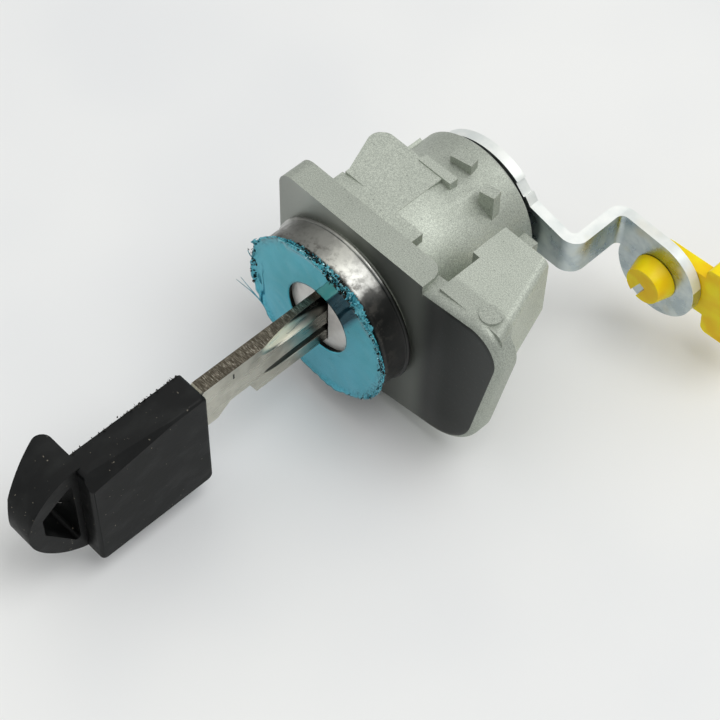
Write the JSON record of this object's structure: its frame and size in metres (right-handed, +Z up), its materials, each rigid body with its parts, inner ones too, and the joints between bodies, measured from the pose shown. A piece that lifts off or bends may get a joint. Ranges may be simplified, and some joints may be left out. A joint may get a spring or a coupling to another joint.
{
  "type": "door lock cylinder",
  "caption": "Car door lock cylinder with die-cast flanged housing, round stainless face cap under a blue film, cranked lever with yellow rod clip, and a black-headed key in the plug.",
  "frame": {"origin": "On the plug's axis, half-way along the straight wall of the round face cap, which is the collar that locates the cylinder in a door handle's hole.", "axes": "+Y along the plug's axis from the key side to the lever side, the object's longest extent. +Z up, towards the square top of the flange. +X towards the wing and the lever's pad."},
  "size_m": [0.0518, 0.0959, 0.0316],
  "materials": {
    "cast_zinc": "sand-rough satin zinc die casting",
    "stainless": "satin stainless sheet",
    "film": "thin sky-blue plastic film",
    "plug_zinc": "machined zinc casting",
    "stainless_plate": "satin stainless sheet",
    "seal_rubber": "black rubber",
    "spring_steel": "drawn spring steel",
    "zinc_plate": "bright zinc plating with a bluish tint",
    "yellow_plastic": "glossy yellow moulding",
    "nickel_brass": "milled nickel silver",
    "black_plastic": "matt black moulding",
    "wafer_brass": "stamped brass"
  },
  "bodies": {
    "housing": {"housing": "cast_zinc", "face_cap": "stainless", "protective_film": "film", "return_spring": "spring_steel"},
    "plug": {"plug": "plug_zinc", "plug_face_plate": "stainless_plate", "plug_seal": "seal_rubber", "lever": "zinc_plate", "retaining_clip": "spring_steel", "wafer_1": "wafer_brass", "wafer_2": "wafer_brass", "wafer_3": "wafer_brass", "wafer_4": "wafer_brass", "wafer_5": "wafer_brass", "wafer_6": "wafer_brass", "wafer_7": "wafer_brass", "wafer_8": "wafer_brass", "wafer_spring_1": "spring_steel", "wafer_spring_2": "spring_steel", "wafer_spring_3": "spring_steel", "wafer_spring_4": "spring_steel", "wafer_spring_5": "spring_steel", "wafer_spring_6": "spring_steel", "wafer_spring_7": "spring_steel", "wafer_spring_8": "spring_steel"},
    "key": {"key_blade": "nickel_brass", "key_head": "black_plastic"},
    "rod_clip": {"rod_clip": "yellow_plastic"}
  },
  "joints": [
    {"name": "plug_turn", "type": "hinge", "parent": "housing", "child": "plug", "pos_m": [0, 0, 0], "axis": [0, 1, 0], "range_deg": [-70, 70], "stiffness_Nm_per_rad": 0.1, "deforming": ["return_spring"]},
    {"name": "key_slide", "type": "slide", "parent": "plug", "child": "key", "axis": [0, -1, 0], "range_m": [0, 0.03]},
    {"name": "clip_swivel", "type": "hinge", "parent": "plug", "child": "rod_clip", "pos_m": [0.0242, 0.0387, -0.0037], "axis": [0, 1, 0], "range_deg": [-30, 30]}
  ]
}
